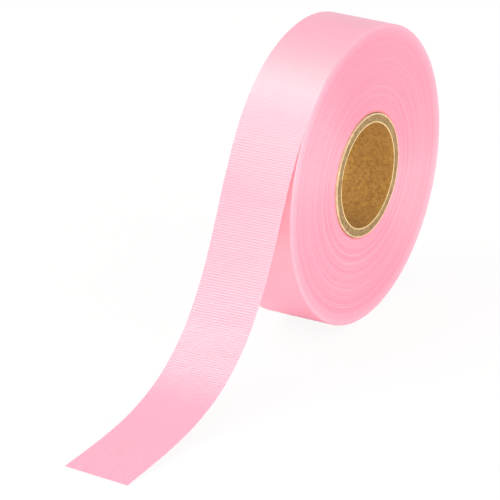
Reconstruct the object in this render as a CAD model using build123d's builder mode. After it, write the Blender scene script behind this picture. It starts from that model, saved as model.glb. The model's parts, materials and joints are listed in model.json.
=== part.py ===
# Roll of ribbed marking tape on a spiral-wound paper core, with its free end hanging to the floor.
# Millimetres. The roll's axis is Y, the origin is the centre of the bore at mid width, and Z is up.

import os
from math import cos, pi, radians

from build123d import *

os.makedirs("parts", exist_ok=True)

# Tape
tape_width = 25.4
tape_thickness = 0.15
roll_radius = 54.0

# Core: a 38 mm bore, wound from an inner liner, board plies and an outer wrap
bore_radius = 19.0
core_stand_out = 0.6
liner_thickness = 0.35
board_thickness = 0.6
board_plies = 4
wrap_thickness = 0.35
glue_gap = 0.03

# Each ply is a helical strip of paper, so its two edges meet in one slanting butt seam
ply_strip_width = 70.0
seam_gap = 0.15
seam_step = 137.0

# Starter tab: double-sided tape that holds the tape's inner end to the core
tab_width = 15.0
tab_arc = 50.0
tab_middle = -60.0
tab_thickness = 0.1
tab_clearance = 0.05

# Clearances
winding_clearance = 0.05
turn_clearance = 0.2
layer_gap = 0.02

# The tape leaves the roll at this angle, counted from +X towards +Z
leave_angle = 136.5

# The free end as tangent bends from the roll to the cut end: share of its length, and turn in degrees
tail_bends = [
    (10, 9.9),
    (12, 6.5),
    (12, -3.2),
    (12, -10.4),
    (11, -14.9),
    (11, -14.9),
    (11, -10.6),
    (11, -4.4),
    (10, 1.1),
]

core_length = tape_width + 2 * core_stand_out


# A tube along Y between two radii, cut through along one helical butt seam.
def wound_ply(label, inner_radius, thickness, seam_angle):
    outer_radius = inner_radius + thickness
    middle_radius = inner_radius + thickness / 2
    girth = 2 * pi * middle_radius
    seam_pitch = girth * ply_strip_width / (girth**2 - ply_strip_width**2) ** 0.5
    # The cutter runs past both ends and both walls of the ply
    seam_height = core_length * 1.5
    with BuildPart() as ply:
        with BuildSketch(Plane.XZ):
            Circle(outer_radius)
            Circle(inner_radius, mode=Mode.SUBTRACT)
        extrude(amount=core_length / 2, both=True)
        with BuildLine():
            seam = Helix(seam_pitch, seam_height, middle_radius, (0, -seam_height / 2, 0), (0, 1, 0))
        seam_start = seam @ 0
        radial = Vector(seam_start.X, 0, seam_start.Z)
        with BuildSketch(Plane(seam_start, x_dir=radial, z_dir=seam % 0)):
            Rectangle(thickness * 3, seam_gap)
        sweep(path=seam, is_frenet=True, mode=Mode.SUBTRACT)
    piece = ply.part.rotate(Axis.Y, seam_angle)
    piece.label = label
    export_step(piece, f"parts/{label}.step")
    return outer_radius


ply_thicknesses = {"core_inner_liner": liner_thickness}
for number in range(1, board_plies + 1):
    ply_thicknesses[f"core_board_ply_{number}"] = board_thickness
ply_thicknesses["core_outer_wrap"] = wrap_thickness

core_radius = bore_radius
for place, (name, thickness) in enumerate(ply_thicknesses.items()):
    inner_radius = bore_radius if place == 0 else core_radius + glue_gap
    core_radius = wound_ply(name, inner_radius, thickness, place * seam_step)


# The outline of a curved patch on the core: a sector of a ring.
def patch_outline(inner_radius, outer_radius, arc):
    with BuildSketch(Plane.XZ) as outline:
        with BuildLine():
            inner = CenterArc((0, 0), inner_radius, tab_middle - arc / 2, arc)
            outer = CenterArc((0, 0), outer_radius, tab_middle - arc / 2, arc)
            Line(inner @ 0, outer @ 0)
            Line(inner @ 1, outer @ 1)
        make_face()
    return outline.sketch


tab_inner_radius = core_radius + tab_clearance
tab_outer_radius = tab_inner_radius + tab_thickness

with BuildPart() as starter_tab:
    extrude(patch_outline(tab_inner_radius, tab_outer_radius, tab_arc), tab_width / 2, both=True)
starter_tab.part.label = "starter_tab"
export_step(starter_tab.part, "parts/starter_tab.step")

# Windings: every turn of tape but the last one, with a hollow in the bore for the starter tab.
# The last turn's outer face reaches the roll's radius about half way round.
turn_growth = tape_thickness + layer_gap
windings_radius = roll_radius - tape_thickness - turn_clearance - turn_growth / 2
windings_bore_radius = core_radius + winding_clearance
hollow_arc = tab_arc + 2.0
hollow_width = tab_width + 1.0

with BuildPart() as tape_windings:
    with BuildSketch(Plane.XZ):
        Circle(windings_radius)
        Circle(windings_bore_radius, mode=Mode.SUBTRACT)
    extrude(amount=tape_width / 2, both=True)
    hollow = patch_outline(core_radius, tab_outer_radius + tab_clearance, hollow_arc)
    extrude(hollow, hollow_width / 2, both=True, mode=Mode.SUBTRACT)
tape_windings.part.label = "tape_windings"
export_step(tape_windings.part, "parts/tape_windings.step")


# One edge of the strip as tangent arcs. The inner edge has offset 0, the outer one the tape's thickness.
def strip_edge(start, tangent, bends, offset):
    arcs = []
    for radius, turn in bends:
        arc_radius = radius + offset if turn > 0 else radius - offset
        arc = JernArc(start, tangent, arc_radius, turn)
        start = arc @ 1
        tangent = arc % 1
        arcs.append(arc)
    return arcs


# The tape's section between its inner and outer edges, and the place where its inner edge ends.
def strip_section(inner_start, outward, tangent, bends):
    outer_start = inner_start + outward * tape_thickness
    with BuildSketch(Plane.XZ) as section:
        with BuildLine():
            inner = strip_edge(inner_start, tangent, bends, 0)
            outer = strip_edge(outer_start, tangent, bends, tape_thickness)
            Line(inner[0] @ 0, outer[0] @ 0)
            Line(inner[-1] @ 1, outer[-1] @ 1)
        make_face()
    return section.sketch, inner[-1] @ 1


outward = Vector(1, 0).rotate(Axis.Z, leave_angle)
tangent = Vector(0, 1).rotate(Axis.Z, leave_angle)

# Last turn: four quarter arcs, each a little larger than the one before, so that the tape
# ends one thickness further out, just over the place where the turn began.
first_radius = windings_radius + turn_clearance
quarter_turns = [(first_radius + turn_growth * quarter / 4, 90) for quarter in range(4)]

turn_section, tail_start = strip_section(outward * first_radius, outward, tangent, quarter_turns)

with BuildPart() as tape_outer_turn:
    extrude(turn_section, tape_width / 2, both=True)
tape_outer_turn.part.label = "tape_outer_turn"
export_step(tape_outer_turn.part, "parts/tape_outer_turn.step")

# Free end: the shares are scaled so that its cut end just reaches the floor under the roll.
floor_height = tape_outer_turn.part.bounding_box().min.Z
heading = radians(leave_angle + 90)
fall = 0
for share, turn in tail_bends:
    next_heading = heading + radians(turn)
    fall += share / radians(turn) * (cos(next_heading) - cos(heading))
    heading = next_heading
tail_unit = (tail_start.Y - floor_height) / fall
tail_length = tail_unit * sum(share for share, turn in tail_bends)
tail_arcs = [(share * tail_unit / abs(radians(turn)), turn) for share, turn in tail_bends]

tail_section, cut_end = strip_section(tail_start, outward, tangent, tail_arcs)

with BuildPart() as tape_tail:
    extrude(tail_section, tape_width / 2, both=True)
tape_tail.part.label = "tape_tail"
export_step(tape_tail.part, "parts/tape_tail.step")

print(f"core outer radius {core_radius:.3f}, windings radius {windings_radius:.3f}")
print(f"floor at {floor_height:.3f}, cut end at {cut_end.X:.2f}, tail length {tail_length:.2f}")
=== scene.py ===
import json
import math

import bpy
import numpy as np
from mathutils import Matrix, Vector


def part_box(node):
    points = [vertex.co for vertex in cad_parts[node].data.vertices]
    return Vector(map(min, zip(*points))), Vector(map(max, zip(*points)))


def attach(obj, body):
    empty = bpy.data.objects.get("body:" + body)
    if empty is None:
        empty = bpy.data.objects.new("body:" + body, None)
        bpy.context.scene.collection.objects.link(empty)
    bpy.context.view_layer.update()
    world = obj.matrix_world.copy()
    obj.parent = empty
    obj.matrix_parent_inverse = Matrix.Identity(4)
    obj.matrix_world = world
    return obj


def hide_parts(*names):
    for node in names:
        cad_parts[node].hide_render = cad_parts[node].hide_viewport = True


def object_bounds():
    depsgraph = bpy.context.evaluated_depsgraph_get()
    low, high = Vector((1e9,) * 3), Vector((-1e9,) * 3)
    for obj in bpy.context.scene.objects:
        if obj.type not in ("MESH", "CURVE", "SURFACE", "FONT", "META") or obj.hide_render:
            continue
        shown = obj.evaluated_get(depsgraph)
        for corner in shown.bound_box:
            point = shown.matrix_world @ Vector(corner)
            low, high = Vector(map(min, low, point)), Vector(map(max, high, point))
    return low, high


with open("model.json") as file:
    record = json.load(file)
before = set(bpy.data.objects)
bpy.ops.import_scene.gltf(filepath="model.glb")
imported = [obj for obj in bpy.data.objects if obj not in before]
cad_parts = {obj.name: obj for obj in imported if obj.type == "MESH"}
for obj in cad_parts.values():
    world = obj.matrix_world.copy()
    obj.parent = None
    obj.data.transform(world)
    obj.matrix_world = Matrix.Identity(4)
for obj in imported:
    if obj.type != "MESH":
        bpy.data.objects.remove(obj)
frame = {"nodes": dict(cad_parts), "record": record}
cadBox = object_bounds()
print("frame loaded")

mm = 0.001


def linear(hexColour):
    # sRGB hex to the linear values, with an alpha of 1, that a shader socket takes
    srgb = np.array([int(hexColour[i : i + 2], 16) for i in (1, 3, 5)]) / 255
    curve = np.where(srgb <= 0.04045, srgb / 12.92, ((srgb + 0.055) / 1.055) ** 2.4)
    return (*curve.tolist(), 1.0)


def addNode(tree, kind, links=(), **settings):
    # settings that the node has go to it, the others to the socket of that name; links are (output, input);
    # a colour mix has its two colours at sockets 6 and 7 and its result at output 2
    node = tree.nodes.new(kind)
    for name, value in settings.items():
        if hasattr(node, name):
            setattr(node, name, value)
    for name, value in settings.items():
        if not hasattr(node, name):
            node.inputs[name.replace("_", " ")].default_value = value
    for source, target in links:
        tree.links.new(source, node.inputs[target])
    return node


def gridMesh(name, points, wrapRows=False, wrapColumns=False, capEnds=False, sharpAngle=40):
    # points is an array of rows by columns by 3; neighbours make quads, and a wrap joins last to first
    rows, columns = points.shape[:2]
    index = np.arange(rows * columns).reshape(rows, columns)
    if wrapRows:
        index = np.vstack([index, index[:1]])
    if wrapColumns:
        index = np.hstack([index, index[:, :1]])
    quads = np.stack([index[:-1, :-1], index[1:, :-1], index[1:, 1:], index[:-1, 1:]], -1).reshape(-1, 4)
    loops = [quads.ravel()]
    sizes = [np.full(len(quads), 4)]
    if capEnds:
        loops += [index[0, :columns], index[-1, :columns][::-1]]
        sizes += [np.array([columns, columns])]
    loops, sizes = np.concatenate(loops), np.concatenate(sizes)
    mesh = bpy.data.meshes.new(name)
    mesh.vertices.add(rows * columns)
    mesh.vertices.foreach_set("co", points.astype(np.float32).ravel())
    mesh.loops.add(len(loops))
    mesh.loops.foreach_set("vertex_index", loops.astype(np.int32))
    mesh.polygons.add(len(sizes))
    mesh.polygons.foreach_set("loop_start", np.concatenate([[0], np.cumsum(sizes)[:-1]]).astype(np.int32))
    mesh.update(calc_edges=True)
    mesh.validate()
    mesh.shade_smooth()
    mesh.set_sharp_from_angle(angle=math.radians(sharpAngle))
    piece = bpy.data.objects.new(name, mesh)
    bpy.context.collection.objects.link(piece)
    return piece


def paintValues(piece, name, values):
    # one number for each vertex, for a material to read
    layer = piece.data.attributes.new(name, "FLOAT", "POINT")
    layer.data.foreach_set("value", values.astype(np.float32).ravel())


def smoothNoise(draws, count, knots, size):
    # a smooth closed curve of seeded random heights, sampled at count places
    heights = draws.normal(0, size, knots)
    place = np.arange(count) * knots / count
    low = np.floor(place).astype(int)
    share = place - low
    share = share * share * (3 - 2 * share)
    return heights[low % knots] * (1 - share) + heights[(low + 1) % knots] * share


filmFinish = {
    # crest and groove colours: painted highlight on the crests, painted shade in the grooves
    "crest": "#FEB6C4",
    "groove": "#F799B8",
    "roughness": 0.34,
    "sheen": 0.85,
    "ior": 1.54,  # plasticised PVC
    "grain": 0.25 * mm,
    "grainDepth": 0.004 * mm,
    # light goes a little way into the film, red farthest
    "glow": 0.6,
    "glowDepth": 0.3 * mm,
    "glowSpread": (1.0, 0.8, 0.8),
}


def filmGrain(tree, shader, place, size, depth):
    # the faint pebbling that rollers leave in calendered film
    grain = addNode(tree, "ShaderNodeTexNoise", [(place, "Vector")], Scale=1 / size, Detail=2.0)
    bump = addNode(tree, "ShaderNodeBump", [(grain.outputs["Fac"], "Height")], Strength=1.0, Distance=depth)
    tree.links.new(bump.outputs["Normal"], shader.inputs["Normal"])


def embossedFilm(name):
    # ribbed PVC film, calendered and embossed, with a satin highlight; crests painted pale and grooves
    # deeper pink, a painted highlight and painted shade on the ribs; the attribute read here runs from 0 in
    # a groove to 1 on a crest, and also carries the painted light along the strip
    material = bpy.data.materials.new(name)
    material.use_nodes = True
    tree = material.node_tree
    shader = tree.nodes["Principled BSDF"]
    place = addNode(tree, "ShaderNodeTexCoord").outputs["Object"]
    ribAndPaintedLight = addNode(tree, "ShaderNodeAttribute", attribute_name="ribAndPaintedLight")
    paint = addNode(tree, "ShaderNodeMix", [(ribAndPaintedLight.outputs["Fac"], "Factor")], data_type="RGBA")
    paint.inputs[6].default_value = linear(filmFinish["groove"])
    paint.inputs[7].default_value = linear(filmFinish["crest"])
    tree.links.new(paint.outputs[2], shader.inputs["Base Color"])
    filmGrain(tree, shader, place, filmFinish["grain"], filmFinish["grainDepth"])
    shader.inputs["Roughness"].default_value = filmFinish["roughness"]
    shader.inputs["Specular IOR Level"].default_value = filmFinish["sheen"]
    shader.inputs["IOR"].default_value = filmFinish["ior"]
    shader.inputs["Subsurface Weight"].default_value = filmFinish["glow"]
    shader.inputs["Subsurface Radius"].default_value = filmFinish["glowSpread"]
    shader.inputs["Subsurface Scale"].default_value = filmFinish["glowDepth"]
    return material


edgeFinish = {
    # tones of the turns, from the dark gap beside the core to the palest turn, the colour of the painted
    # highlight on the outer turns
    "gap": "#A8645C",
    "deep": "#F47793",
    "deepAt": 0.2,
    "middle": "#FC8DA6",
    "middleAt": 0.65,
    # the palest colour, which the painted highlight on the outer turns reaches
    "paleAndPaintedLight": "#FD9DB4",
    "sheen": 1.0,
    "ior": 1.54,
    "anisotropy": 0.89,
    "acrossTurns": 0.25,  # of a full turn
    "grain": 0.5 * mm,
    "grainDepth": 0.05 * mm,
    # dashes are taken from the middle of the noise, and run from glossy to dull
    "dash": 0.8 * mm,
    "dashNoise": (0.4, 0.6),
    "dashRoughness": (0.34, 0.6),
}


def woundEdges(name):
    # hundreds of slit film edges side by side: duller than the film, with a slightly uneven pink, painted
    # shade towards the top and a painted highlight on the outer turns; the attribute turn runs from 0 in a
    # gap to 1 on the palest turn
    material = bpy.data.materials.new(name)
    material.use_nodes = True
    tree = material.node_tree
    shader = tree.nodes["Principled BSDF"]
    place = addNode(tree, "ShaderNodeTexCoord").outputs["Object"]
    turn = addNode(tree, "ShaderNodeAttribute", attribute_name="turn")
    paint = addNode(tree, "ShaderNodeValToRGB", [(turn.outputs["Fac"], "Fac")])
    stops = paint.color_ramp.elements
    stops[0].color = linear(edgeFinish["gap"])
    stops[1].color = linear(edgeFinish["paleAndPaintedLight"])
    stops.new(edgeFinish["deepAt"]).color = linear(edgeFinish["deep"])
    stops.new(edgeFinish["middleAt"]).color = linear(edgeFinish["middle"])
    tree.links.new(paint.outputs["Color"], shader.inputs["Base Color"])
    filmGrain(tree, shader, place, edgeFinish["grain"], edgeFinish["grainDepth"])
    # the turns lie in circles, so the highlight spreads across them
    circle = addNode(tree, "ShaderNodeTangent", direction_type="RADIAL", axis="Y")
    tree.links.new(circle.outputs["Tangent"], shader.inputs["Tangent"])
    shader.inputs["Anisotropic"].default_value = edgeFinish["anisotropy"]
    shader.inputs["Anisotropic Rotation"].default_value = edgeFinish["acrossTurns"]
    # ribs cut through at each edge catch the light in short dashes
    dashScale = 1 / edgeFinish["dash"]
    dashes = addNode(tree, "ShaderNodeTexNoise", [(place, "Vector")], Scale=dashScale, Detail=1.0)
    dull = addNode(tree, "ShaderNodeMapRange", [(dashes.outputs["Fac"], "Value")])
    dull.inputs["From Min"].default_value = edgeFinish["dashNoise"][0]
    dull.inputs["From Max"].default_value = edgeFinish["dashNoise"][1]
    dull.inputs["To Min"].default_value = edgeFinish["dashRoughness"][0]
    dull.inputs["To Max"].default_value = edgeFinish["dashRoughness"][1]
    tree.links.new(dull.outputs["Result"], shader.inputs["Roughness"])
    shader.inputs["Specular IOR Level"].default_value = edgeFinish["sheen"]
    shader.inputs["IOR"].default_value = edgeFinish["ior"]
    return material


paper = {
    "blotch": 1.4 * mm,
    "blotchDetail": 4.0,
    "fibreDetail": 5.0,
    "fibreRoughness": 0.65,
    "stretch": (1.0, 0.6, 1.0),  # fibres lie a little along the axis
    "mottle": (0.8, 1.2),  # sum of the two noises, from dark to pale
    "fibreStrength": 0.6,
    "fibreDepth": 0.06 * mm,
    "edgeWidth": 0.25 * mm,
    "roughness": 0.85,
    "ior": 1.45,
}


def paperStock(name, colour, darkColour, fibre, edgeColour=None, edgeFrom=0.0):
    # pressed paper: short fibres and soft blotches, no gloss; past edgeFrom along the axis its cut edge is
    # painted paler, partly for paler fibres and partly as a painted highlight along the lip
    material = bpy.data.materials.new(name)
    material.use_nodes = True
    tree = material.node_tree
    shader = tree.nodes["Principled BSDF"]
    place = addNode(tree, "ShaderNodeTexCoord").outputs["Object"]
    blotches = addNode(
        tree,
        "ShaderNodeTexNoise",
        [(place, "Vector")],
        Scale=1 / paper["blotch"],
        Detail=paper["blotchDetail"],
    )
    stretch = addNode(tree, "ShaderNodeMapping", [(place, "Vector")], Scale=paper["stretch"])
    fibres = addNode(
        tree,
        "ShaderNodeTexNoise",
        [(stretch.outputs["Vector"], "Vector")],
        Scale=1 / fibre,
        Detail=paper["fibreDetail"],
        Roughness=paper["fibreRoughness"],
    )
    both = addNode(
        tree,
        "ShaderNodeMath",
        [(blotches.outputs["Fac"], 0), (fibres.outputs["Fac"], 1)],
        operation="ADD",
    )
    share = addNode(tree, "ShaderNodeMapRange", [(both.outputs[0], "Value")])
    share.inputs["From Min"].default_value = paper["mottle"][0]
    share.inputs["From Max"].default_value = paper["mottle"][1]
    paint = addNode(tree, "ShaderNodeMix", [(share.outputs["Result"], "Factor")], data_type="RGBA")
    paint.inputs[6].default_value = linear(darkColour)
    paint.inputs[7].default_value = linear(colour)
    colourOut = paint.outputs[2]
    if edgeColour:
        # the cut edge painted paler: paler fibres and a painted highlight on the lip
        axes = addNode(tree, "ShaderNodeSeparateXYZ", [(place, "Vector")])
        depth = addNode(tree, "ShaderNodeMath", [(axes.outputs["Y"], 0)], operation="ABSOLUTE")
        edge = addNode(tree, "ShaderNodeMapRange", [(depth.outputs[0], "Value")])
        edge.inputs["From Min"].default_value = edgeFrom - paper["edgeWidth"]
        edge.inputs["From Max"].default_value = edgeFrom
        mixed = addNode(
            tree, "ShaderNodeMix", [(edge.outputs["Result"], "Factor"), (colourOut, 6)], data_type="RGBA"
        )
        mixed.inputs[7].default_value = linear(edgeColour)
        colourOut = mixed.outputs[2]
    tree.links.new(colourOut, shader.inputs["Base Color"])
    bump = addNode(
        tree,
        "ShaderNodeBump",
        [(both.outputs[0], "Height")],
        Strength=paper["fibreStrength"],
        Distance=paper["fibreDepth"],
    )
    tree.links.new(bump.outputs["Normal"], shader.inputs["Normal"])
    shader.inputs["Roughness"].default_value = paper["roughness"]
    shader.inputs["IOR"].default_value = paper["ior"]
    return material


boreMount = next(mount for mount in frame["record"]["mounts"] if mount["name"] == "core_bore")
core = {
    "boreRadius": boreMount["dims"]["r_mm"] * mm,
    "glueGap": 0.03 * mm,
    # a ply's butt seam: the length in which it goes once round, its gap, and degrees on from the last ply's
    "seamPitch": 84 * mm,
    "seamGap": 0.15 * mm,
    "seamStep": 137,
    # rounding of the cut edges, and the most of a thin ply's wall that it takes
    "lip": 0.08 * mm,
    "lipShare": 0.3,
    # the saw leaves each end a little ragged, in waves this many to the turn, fading out along the ply
    "fuzz": 0.035 * mm,
    "fuzzWaves": (60, 17),
    "fuzzShare": 0.2,
    "around": 240,
    "alongSteps": 10,
    "cornerSteps": 4,
    "seed": 11,
}
plies = [
    "core_inner_liner",
    "core_board_ply_1",
    "core_board_ply_2",
    "core_board_ply_3",
    "core_board_ply_4",
    "core_outer_wrap",
]


def plyTube(node, innerRadius, outerRadius, halfLength, seamAngle, seed):
    # a round-cornered wall section carried round the axis, from one edge of the seam to the other;
    # the angle grows with the distance along the axis, so the seam is a helix
    draws = np.random.default_rng(seed)
    lip = min(core["lip"], (outerRadius - innerRadius) * core["lipShare"])
    steps = np.linspace(-1, 1, core["alongSteps"])
    corner = np.linspace(0, math.pi / 2, core["cornerSteps"])[1:]
    high = halfLength - lip
    inner = np.stack([np.full(len(steps), innerRadius), steps * high], 1)
    topIn = np.stack([innerRadius + lip * (1 - np.cos(corner)), high + lip * np.sin(corner)], 1)
    topOut = np.stack([outerRadius - lip * (1 - np.sin(corner)), high + lip * np.cos(corner)], 1)[:-1]
    outer = np.stack([np.full(len(steps), outerRadius), -steps * high], 1)
    lowOut = np.stack([outerRadius - lip * (1 - np.cos(corner)), -high - lip * np.sin(corner)], 1)
    lowIn = np.stack([innerRadius + lip * (1 - np.sin(corner)), -high - lip * np.cos(corner)], 1)[:-1]
    section = np.concatenate([inner, topIn, topOut, outer, lowOut, lowIn])
    around = core["around"]
    gapAngle = core["seamGap"] / innerRadius
    turn = np.linspace(gapAngle / 2, 2 * math.pi - gapAngle / 2, around)
    radius, along = section[:, 0], section[:, 1]
    topFuzz, lowFuzz = [
        np.abs(sum(smoothNoise(draws, around, waves, core["fuzz"]) for waves in core["fuzzWaves"]))[:, None]
        for end in range(2)
    ]
    topShare = np.clip((along / high - 1) / core["fuzzShare"] + 1, 0, 1)
    lowShare = np.clip((-along / high - 1) / core["fuzzShare"] + 1, 0, 1)
    angle = math.radians(seamAngle) + turn[:, None] + 2 * math.pi / core["seamPitch"] * along[None, :]
    depth = along[None, :] - topFuzz * topShare + lowFuzz * lowShare
    points = np.stack([radius * np.cos(angle), depth, radius * np.sin(angle)], -1)
    piece = gridMesh(node + "_paper", points, wrapColumns=True, capEnds=True, sharpAngle=60)
    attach(piece, "roll")
    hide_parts(node)
    return piece


innerRadius = core["boreRadius"]
for layer, node in enumerate(plies):
    low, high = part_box(node)
    halfLength = (high[1] - low[1]) / 2
    outerRadius = (high[2] - low[2]) / 2
    seamAngle = layer * core["seamStep"]
    piece = plyTube(node, innerRadius, outerRadius, halfLength, seamAngle, core["seed"] + layer)
    if layer == 0:
        finish = paperStock("kraft liner paper", "#B98A43", "#976B34", 0.5 * mm, "#E2CC9D", halfLength)
    elif layer == len(plies) - 1:
        finish = paperStock("bleached wrap paper", "#DFCBAB", "#C4AC86", 0.5 * mm)
    else:
        finish = paperStock("grey chipboard", "#9C805A", "#795F3F", 0.35 * mm)
    piece.data.materials.append(finish)
    innerRadius = outerRadius + core["glueGap"]
coreRadius = outerRadius
print("core made")

tab = frame["nodes"]["starter_tab"]
tabFinish = paperStock("white tissue tape", "#F4F1E6", "#E6E1D0", 0.5 * mm)
tab.data.materials.clear()
tab.data.materials.append(tabFinish)

windings = {
    # single turns are 0.15 mm, too fine to show, so each ridge stands for two of them
    "ridgePitch": 0.3 * mm,
    "ridgeHeight": 0.018 * mm,
    "wander": 0.018 * mm,
    "around": 96,
    "samples": 3,
    "boreGap": 0.05 * mm,
    # the turns lie closer under the outer turn than the solid ring does
    "fill": 0.12 * mm,
    # a slower wander spans this many ridges, and each ridge leans by this share of the wander
    "slowRidges": 25,
    "leanShare": 0.5,
    # the innermost edges fall away beside the core; painted highlight: the last turns to be wound, at the
    # outer edge, are painted paler
    "fall": 0.35 * mm,
    "fallWidth": 0.5 * mm,
    "outerHighlightWidth": 4.0 * mm,
    "outerHighlightTone": 0.5,
    # the first turns beside the core darken towards the gap colour
    "boreDarkWidth": 1.5 * mm,
    # tones are shares of the way from gap to palest turn: the usual one, its spread, and a groove's drop
    "tone": 0.5,
    "toneSpread": 0.12,
    "grooveTone": 0.2,
    # painted shade: the face is painted deeper pink towards its top, most of all at this angle from +X
    # towards +Z
    "topShade": 0.32,
    "topShadeAt": 75,
    "seed": 5,
}


def woundFaces():
    # a ring section carried round the axis; each end face is a row of ridges, one for every two
    # turns, whose heights wander from turn to turn and a little round each turn
    draws = np.random.default_rng(windings["seed"])
    low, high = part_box("tape_windings")
    outerRadius = (high[2] - low[2]) / 2
    halfWidth = (high[1] - low[1]) / 2
    boreRadius = coreRadius + windings["boreGap"]
    ridges = int(round((outerRadius - boreRadius) / windings["ridgePitch"]))
    count = ridges * windings["samples"] + 1
    radii = np.linspace(boreRadius, outerRadius + windings["fill"], count)
    around = windings["around"]
    angle = np.linspace(0, 2 * math.pi, around, endpoint=False)
    ridge = np.minimum(np.arange(count) // windings["samples"], ridges)
    groove = np.arange(count) % windings["samples"] == 0
    fall = windings["fall"] * np.clip(1 - (radii - boreRadius) / windings["fallWidth"], 0, 1) ** 2
    sides = []
    for side in (-1, 1):
        steps = draws.normal(0, windings["wander"], ridges + 1)
        wander = draws.normal(0, windings["wander"], ridges + 1)
        slow = np.convolve(wander, np.hanning(windings["slowRidges"]), "same")
        lean = draws.normal(0, windings["wander"] * windings["leanShare"], (2, ridges + 1))
        height = (steps + slow)[ridge] - groove * windings["ridgeHeight"] - fall
        height = height + lean[0][ridge] * np.cos(angle)[:, None]
        height = height + lean[1][ridge] * np.sin(2 * angle)[:, None]
        sides.append(side * (halfWidth + height))
    # the section runs out along one face and back along the other
    radius = np.concatenate([radii, radii[::-1]])
    along = np.concatenate([sides[0], sides[1][:, ::-1]], 1)
    points = np.stack([radius * np.cos(angle)[:, None], along, radius * np.sin(angle)[:, None]], -1)
    tone = windings["tone"] + draws.normal(0, windings["toneSpread"], ridges + 1)[ridge]
    # painted highlight: the outermost turns are painted paler
    paleAndPaintedLight = np.clip((radii - outerRadius) / windings["outerHighlightWidth"] + 1, 0, 1)
    tone = tone - groove * windings["grooveTone"] + paleAndPaintedLight * windings["outerHighlightTone"]
    # painted shade: the turns are painted deeper pink towards the top of the face
    topShadeWeight = np.clip(np.cos(angle - math.radians(windings["topShadeAt"])), 0, 1)
    tone = tone - windings["topShade"] * topShadeWeight[:, None] ** 2
    # the first turns beside the core darken towards the gap colour
    boreDark = np.clip((radii - boreRadius) / windings["boreDarkWidth"], 0, 1)
    tone = np.clip(tone, edgeFinish["deepAt"], 1) * boreDark
    piece = gridMesh("wound_tape", points, wrapRows=True, wrapColumns=True, sharpAngle=60)
    paintValues(piece, "turn", np.concatenate([tone, tone[:, ::-1]], 1))
    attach(piece, "roll")
    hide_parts("tape_windings")
    return piece


wound = woundFaces()
wound.data.materials.append(woundEdges("slit film edges"))
print("windings made")

strip = {
    "thickness": 0.15 * mm,
    # from the windings to the last turn's start, and how far the turn has climbed at its end
    "turnGap": 0.2 * mm,
    "growth": 0.17 * mm,
    # where it leaves the roll, in degrees from +X towards +Z
    "leaveAngle": 136.5,
    # the free end's bends: share of its length, and turn in degrees
    "bends": [
        (10, 9.9),
        (12, 6.5),
        (12, -3.2),
        (12, -10.4),
        (11, -14.9),
        (11, -14.9),
        (11, -10.6),
        (11, -4.4),
        (10, 1.1),
    ],
    "easeLength": 14 * mm,
    # the length of one share to begin with, and the tries it gets at reaching the floor
    "shareLength": 1.6 * mm,
    "tries": 4,
    # the start of the turn is tucked under its end, which climbs over it along the ramp
    "tuckAngle": 12,
    "rampAngle": 30,
    # sideways drift and lean of the free end; the lean begins over this share of its length
    "drift": -10.5 * mm,
    "twist": 0.25,
    "twistBegin": 0.08,
    "ribPitch": 0.96 * mm,
    "ribHeight": 0.05 * mm,
    # knots along the strip and size of each wander: one the same all across, one growing across
    "phaseWander": [(90, 0.12), (40, 0.25)],
    "heightWander": [(120, 0.12), (80, 0.2)],
    # how much paler a crest is painted than the film between ribs, a painted highlight on the crests
    "ribPaintedHighlight": 0.33,
    # distance past the point where the tape leaves the roll, and share of the full rib height; the ribs
    # are pressed flatter over the top of the roll and towards the cut end
    "ribFade": [(-30 * mm, 0.15), (-5 * mm, 0.45), (18 * mm, 1.0), (94 * mm, 1.0), (115 * mm, 0.15)],
    # the same distance, and share of the crest colour, painted light: a painted highlight where the film
    # bends over the roll, and painted light on the turn behind the free end, where the narrow gap under it
    # is in shade
    "paleAndPaintedLight": [
        (-350 * mm, 0.8),
        (-290 * mm, 0.8),
        (-262 * mm, 0.2),
        (-230 * mm, 0.05),
        (-180 * mm, 0.3),
        (-44 * mm, 0.3),
        (-30 * mm, 0.5),
        (-16 * mm, 0.85),
        (-4 * mm, 0.6),
        (5 * mm, 0.42),
        (14 * mm, 0.6),
        (30 * mm, 0.55),
        (92 * mm, 0.55),
        (114 * mm, 0.3),
    ],
    "samplesPerRib": 6,
    "across": 8,
    "seed": 8,
}


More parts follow.
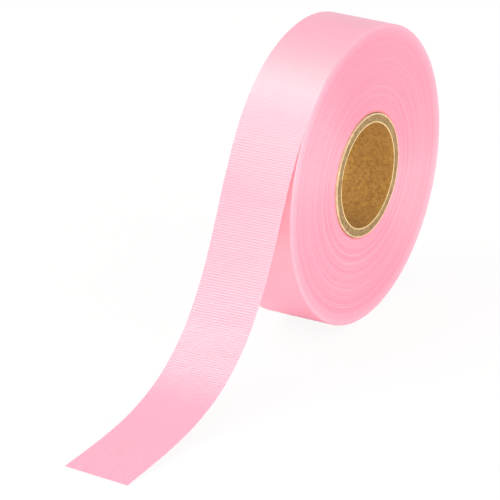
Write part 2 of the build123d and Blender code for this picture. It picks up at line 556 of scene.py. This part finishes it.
def stripLine():
    # where the strip's inner face runs, seen along the axis: a slowly widening circle that ends tangent
    # to a line whose heading is the running sum of its bends, eased into each other
    low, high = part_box("tape_windings")
    startRadius = (high[2] - low[2]) / 2 + strip["turnGap"]
    leave = math.radians(strip["leaveAngle"])
    leaveRadius = startRadius + strip["growth"]
    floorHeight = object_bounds()[0].z
    # curvature by length, first of the roll just before the tape leaves it, then of each bend; the
    # length is scaled until the cut end reaches the floor
    shares, turns = np.array(strip["bends"]).T
    turns = np.radians(turns)
    step = strip["ribPitch"] / strip["samplesPerRib"]
    start = leaveRadius * np.array([math.cos(leave), math.sin(leave)])
    unit = strip["shareLength"]
    for attempt in range(strip["tries"]):
        ends = np.cumsum(shares) * unit
        length = ends[-1]
        count = int(round(length / step))
        ease = int(round(strip["easeLength"] / step))
        place = (np.arange(count + 2 * ease) - ease + 0.5) * (length / count)
        bend = np.minimum(np.searchsorted(ends, place), len(shares) - 1)
        curvature = np.where(place < 0, 1 / leaveRadius, (turns / (shares * unit))[bend])
        window = np.hanning(ease + 2)[1:-1]
        curvature = np.convolve(curvature, window / window.sum(), "same")[ease:-ease]
        heading = leave + math.pi / 2 + np.concatenate([[0], np.cumsum(curvature)]) * (length / count)
        middle = (heading[1:] + heading[:-1]) / 2
        moves = np.stack([np.cos(middle), np.sin(middle)], 1) * (length / count)
        fall = -moves[:, 1].sum()
        unit *= (start[1] - floorHeight) / fall
    line = start + np.concatenate([[[0, 0]], np.cumsum(moves, 0)])
    # the turn before it, from where its start is tucked under
    tuck, ramp = math.radians(strip["tuckAngle"]), math.radians(strip["rampAngle"])
    sweep = 2 * math.pi + tuck
    turnCount = int(round(sweep * startRadius / step))
    back = np.linspace(-sweep, 0, turnCount, endpoint=False)
    climb = np.clip((back + tuck + ramp) / ramp, 0, 1)
    radius = startRadius + strip["growth"] * climb**2 * (3 - 2 * climb)
    turnLine = radius[:, None] * np.stack([np.cos(leave + back), np.sin(leave + back)], 1)
    turnHeading = leave + back + math.pi / 2
    tailShare = np.concatenate([np.zeros(turnCount), np.linspace(0, 1, count + 1)])
    return np.concatenate([turnLine, line]), np.concatenate([turnHeading, heading]), tailShare, length


def acrossNoise(draws, rows, across, level, slope):
    # one smooth curve along the strip for its whole width, and one that grows from its middle line
    return smoothNoise(draws, rows, *level)[:, None] + smoothNoise(draws, rows, *slope)[:, None] * across


def tapeStrip():
    # the line carried across the width, with ribs raised along it on both faces: a rounded wave whose
    # height and phase wander a little
    draws = np.random.default_rng(strip["seed"])
    line, heading, share, tailLength = stripLine()
    low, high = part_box("tape_outer_turn")
    width = high[1] - low[1]
    rows = len(line)
    lengthAlong = np.concatenate([[0], np.cumsum(np.hypot(*np.diff(line, axis=0).T))])
    begin = 1 - np.exp(-((share / strip["twistBegin"]) ** 2))
    twist = strip["twist"] * share * (1 - share) * begin
    drift = strip["drift"] * share**2 * (1 - share)
    tangent = np.stack([np.cos(heading), np.gradient(drift, lengthAlong), np.sin(heading)], 1)
    tangent /= np.linalg.norm(tangent, axis=1)[:, None]
    inward = np.stack([-np.sin(heading), np.zeros(rows), np.cos(heading)], 1)
    crosswise = np.array([0.0, 1.0, 0.0]) - tangent[:, 1:2] * tangent + twist[:, None] * inward
    crosswise /= np.linalg.norm(crosswise, axis=1)[:, None]
    outward = np.cross(crosswise, tangent)
    centre = np.stack([line[:, 0], drift, line[:, 1]], 1)
    across = np.linspace(-0.5, 0.5, strip["across"] + 1)
    phase = acrossNoise(draws, rows, across, *strip["phaseWander"])
    wave = np.cos(2 * math.pi * lengthAlong[:, None] / strip["ribPitch"] + phase)
    free = lengthAlong - (lengthAlong[-1] - tailLength)
    strength = 1 + acrossNoise(draws, rows, across, *strip["heightWander"])
    strength = strength * np.interp(free, *zip(*strip["ribFade"]))[:, None]
    ribs = strip["ribHeight"] * strength * wave
    sides = []
    for lift, places in ((0, across[::-1]), (strip["thickness"], across)):
        raised = ribs if lift else ribs[:, ::-1]
        offset = (lift + raised)[:, :, None] * outward[:, None, :]
        sides.append(centre[:, None, :] + crosswise[:, None, :] * (places * width)[None, :, None] + offset)
    points = np.concatenate(sides, 1)
    piece = gridMesh("tape_strip", points, wrapColumns=True, capEnds=True, sharpAngle=60)
    # painted light along the strip: a painted highlight over the roll and painted light on the turn behind
    # the free end
    paleAndPaintedLight = np.interp(free, *zip(*strip["paleAndPaintedLight"]))[:, None]
    # crests painted paler than grooves, a painted highlight on the ribs, added to the painted light along
    # the strip
    crest = np.clip(paleAndPaintedLight + strip["ribPaintedHighlight"] * wave * strength, 0, 1)
    paintValues(piece, "ribAndPaintedLight", np.concatenate([1 - crest[:, ::-1], crest], 1))
    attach(piece, "free_end")
    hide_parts("tape_outer_turn", "tape_tail")
    print(f"strip {lengthAlong[-1] / mm:.1f} mm, of which {tailLength / mm:.1f} mm hangs free")
    return piece


ribbon = tapeStrip()
ribbon.data.materials.append(embossedFilm("embossed pink film"))
print("tape strip made")

studio = {
    "floorHalf": 3.0,
    "floorDrop": 0.15 * mm,
    "floorColour": "#F4F4F4",
    "floorRoughness": 0.9,
    "floorGlow": 0.9,  # share of the camera's view of the floor that is plain white
    "skyStrength": 0.79,
    "lampColour": (1.0, 1.0, 0.85),
    "lampAim": (-0.04, 0, 0),
    # place, size and watts of each softbox
    "softboxes": {
        "back softbox": ((-0.37, 0.46, 0.81), (0.6, 0.6), 4.0),
        "front softbox": ((0.02, -0.97, 0.2), (0.5, 0.5), 4.2),
        "low softbox": ((-0.72, -0.72, 0.06), (0.5, 0.2), 5.0),
    },
    # where the camera looks from, in degrees about the point it aims at
    "azimuth": -59.54,
    "elevation": 22.84,
    "distance": 1.4977,
    "aim": (-0.02488, 0.02027, -0.02651),
    "lens": 305.8,
    "clipEnd": 20,
}


def floorMaterial():
    # matt white paper sweep; the camera sees it near white, shadows still fall on it
    material = bpy.data.materials.new("white paper sweep")
    material.use_nodes = True
    tree = material.node_tree
    shader = tree.nodes["Principled BSDF"]
    shader.inputs["Base Color"].default_value = linear(studio["floorColour"])
    shader.inputs["Roughness"].default_value = studio["floorRoughness"]
    output = tree.nodes["Material Output"]
    rays = addNode(tree, "ShaderNodeLightPath")
    glow = addNode(tree, "ShaderNodeEmission", Strength=1.0)
    seen = addNode(tree, "ShaderNodeMath", [(rays.outputs["Is Camera Ray"], 0)], operation="MULTIPLY")
    seen.inputs[1].default_value = studio["floorGlow"]
    mix = addNode(
        tree,
        "ShaderNodeMixShader",
        [(seen.outputs[0], 0), (shader.outputs["BSDF"], 1), (glow.outputs["Emission"], 2)],
    )
    tree.links.new(mix.outputs["Shader"], output.inputs["Surface"])
    return material


def addFloor():
    # one flat square, a hair below the lowest point of the roll
    edges = np.linspace(-studio["floorHalf"], studio["floorHalf"], 2)
    x, y = np.meshgrid(edges, edges, indexing="ij")
    points = np.stack([x, y, np.full_like(x, cadBox[0].z - studio["floorDrop"])], -1)
    floor = gridMesh("floor", points)
    floor.data.materials.append(floorMaterial())


def addWorld():
    # an even white sky, full white to the camera and dimmer as a light
    world = bpy.data.worlds.new("studio")
    bpy.context.scene.world = world
    world.use_nodes = True
    tree = world.node_tree
    background = tree.nodes["Background"]
    background.inputs["Color"].default_value = (1, 1, 1, 1)
    rays = addNode(tree, "ShaderNodeLightPath")
    strength = addNode(
        tree, "ShaderNodeMix", [(rays.outputs["Is Camera Ray"], "Factor")], data_type="FLOAT"
    )
    strength.inputs[2].default_value = studio["skyStrength"]
    strength.inputs[3].default_value = 1.0
    tree.links.new(strength.outputs[0], background.inputs["Strength"])


def addSoftbox(name, place, size, power):
    # a rectangular lamp turned to face the roll
    lamp = bpy.data.lights.new(name, "AREA")
    lamp.shape = "RECTANGLE"
    lamp.size, lamp.size_y = size
    lamp.energy = power
    lamp.color = studio["lampColour"]
    box = bpy.data.objects.new(name, lamp)
    box.location = place
    box.rotation_euler = (Vector(studio["lampAim"]) - Vector(place)).to_track_quat("-Z", "Y").to_euler()
    bpy.context.collection.objects.link(box)


def addCamera():
    # it stands back from its aim along a line given by the two angles, and stays level
    azimuth, elevation = math.radians(studio["azimuth"]), math.radians(studio["elevation"])
    flat = math.cos(elevation)
    right = Vector((math.cos(azimuth), math.sin(azimuth), 0))
    back = Vector((math.sin(azimuth) * flat, -math.cos(azimuth) * flat, math.sin(elevation)))
    up = back.cross(right)
    camera = bpy.data.objects.new("camera", bpy.data.cameras.new("camera"))
    place = Vector(studio["aim"]) + back * studio["distance"]
    camera.matrix_world = Matrix.Translation(place) @ Matrix((right, up, back)).transposed().to_4x4()
    camera.data.lens = studio["lens"]
    camera.data.clip_end = studio["clipEnd"]
    bpy.context.collection.objects.link(camera)
    bpy.context.scene.camera = camera


addFloor()
addWorld()
for name, (place, size, power) in studio["softboxes"].items():
    addSoftbox(name, place, size, power)
addCamera()
bpy.context.scene.view_settings.view_transform = "Standard"
print("studio made")
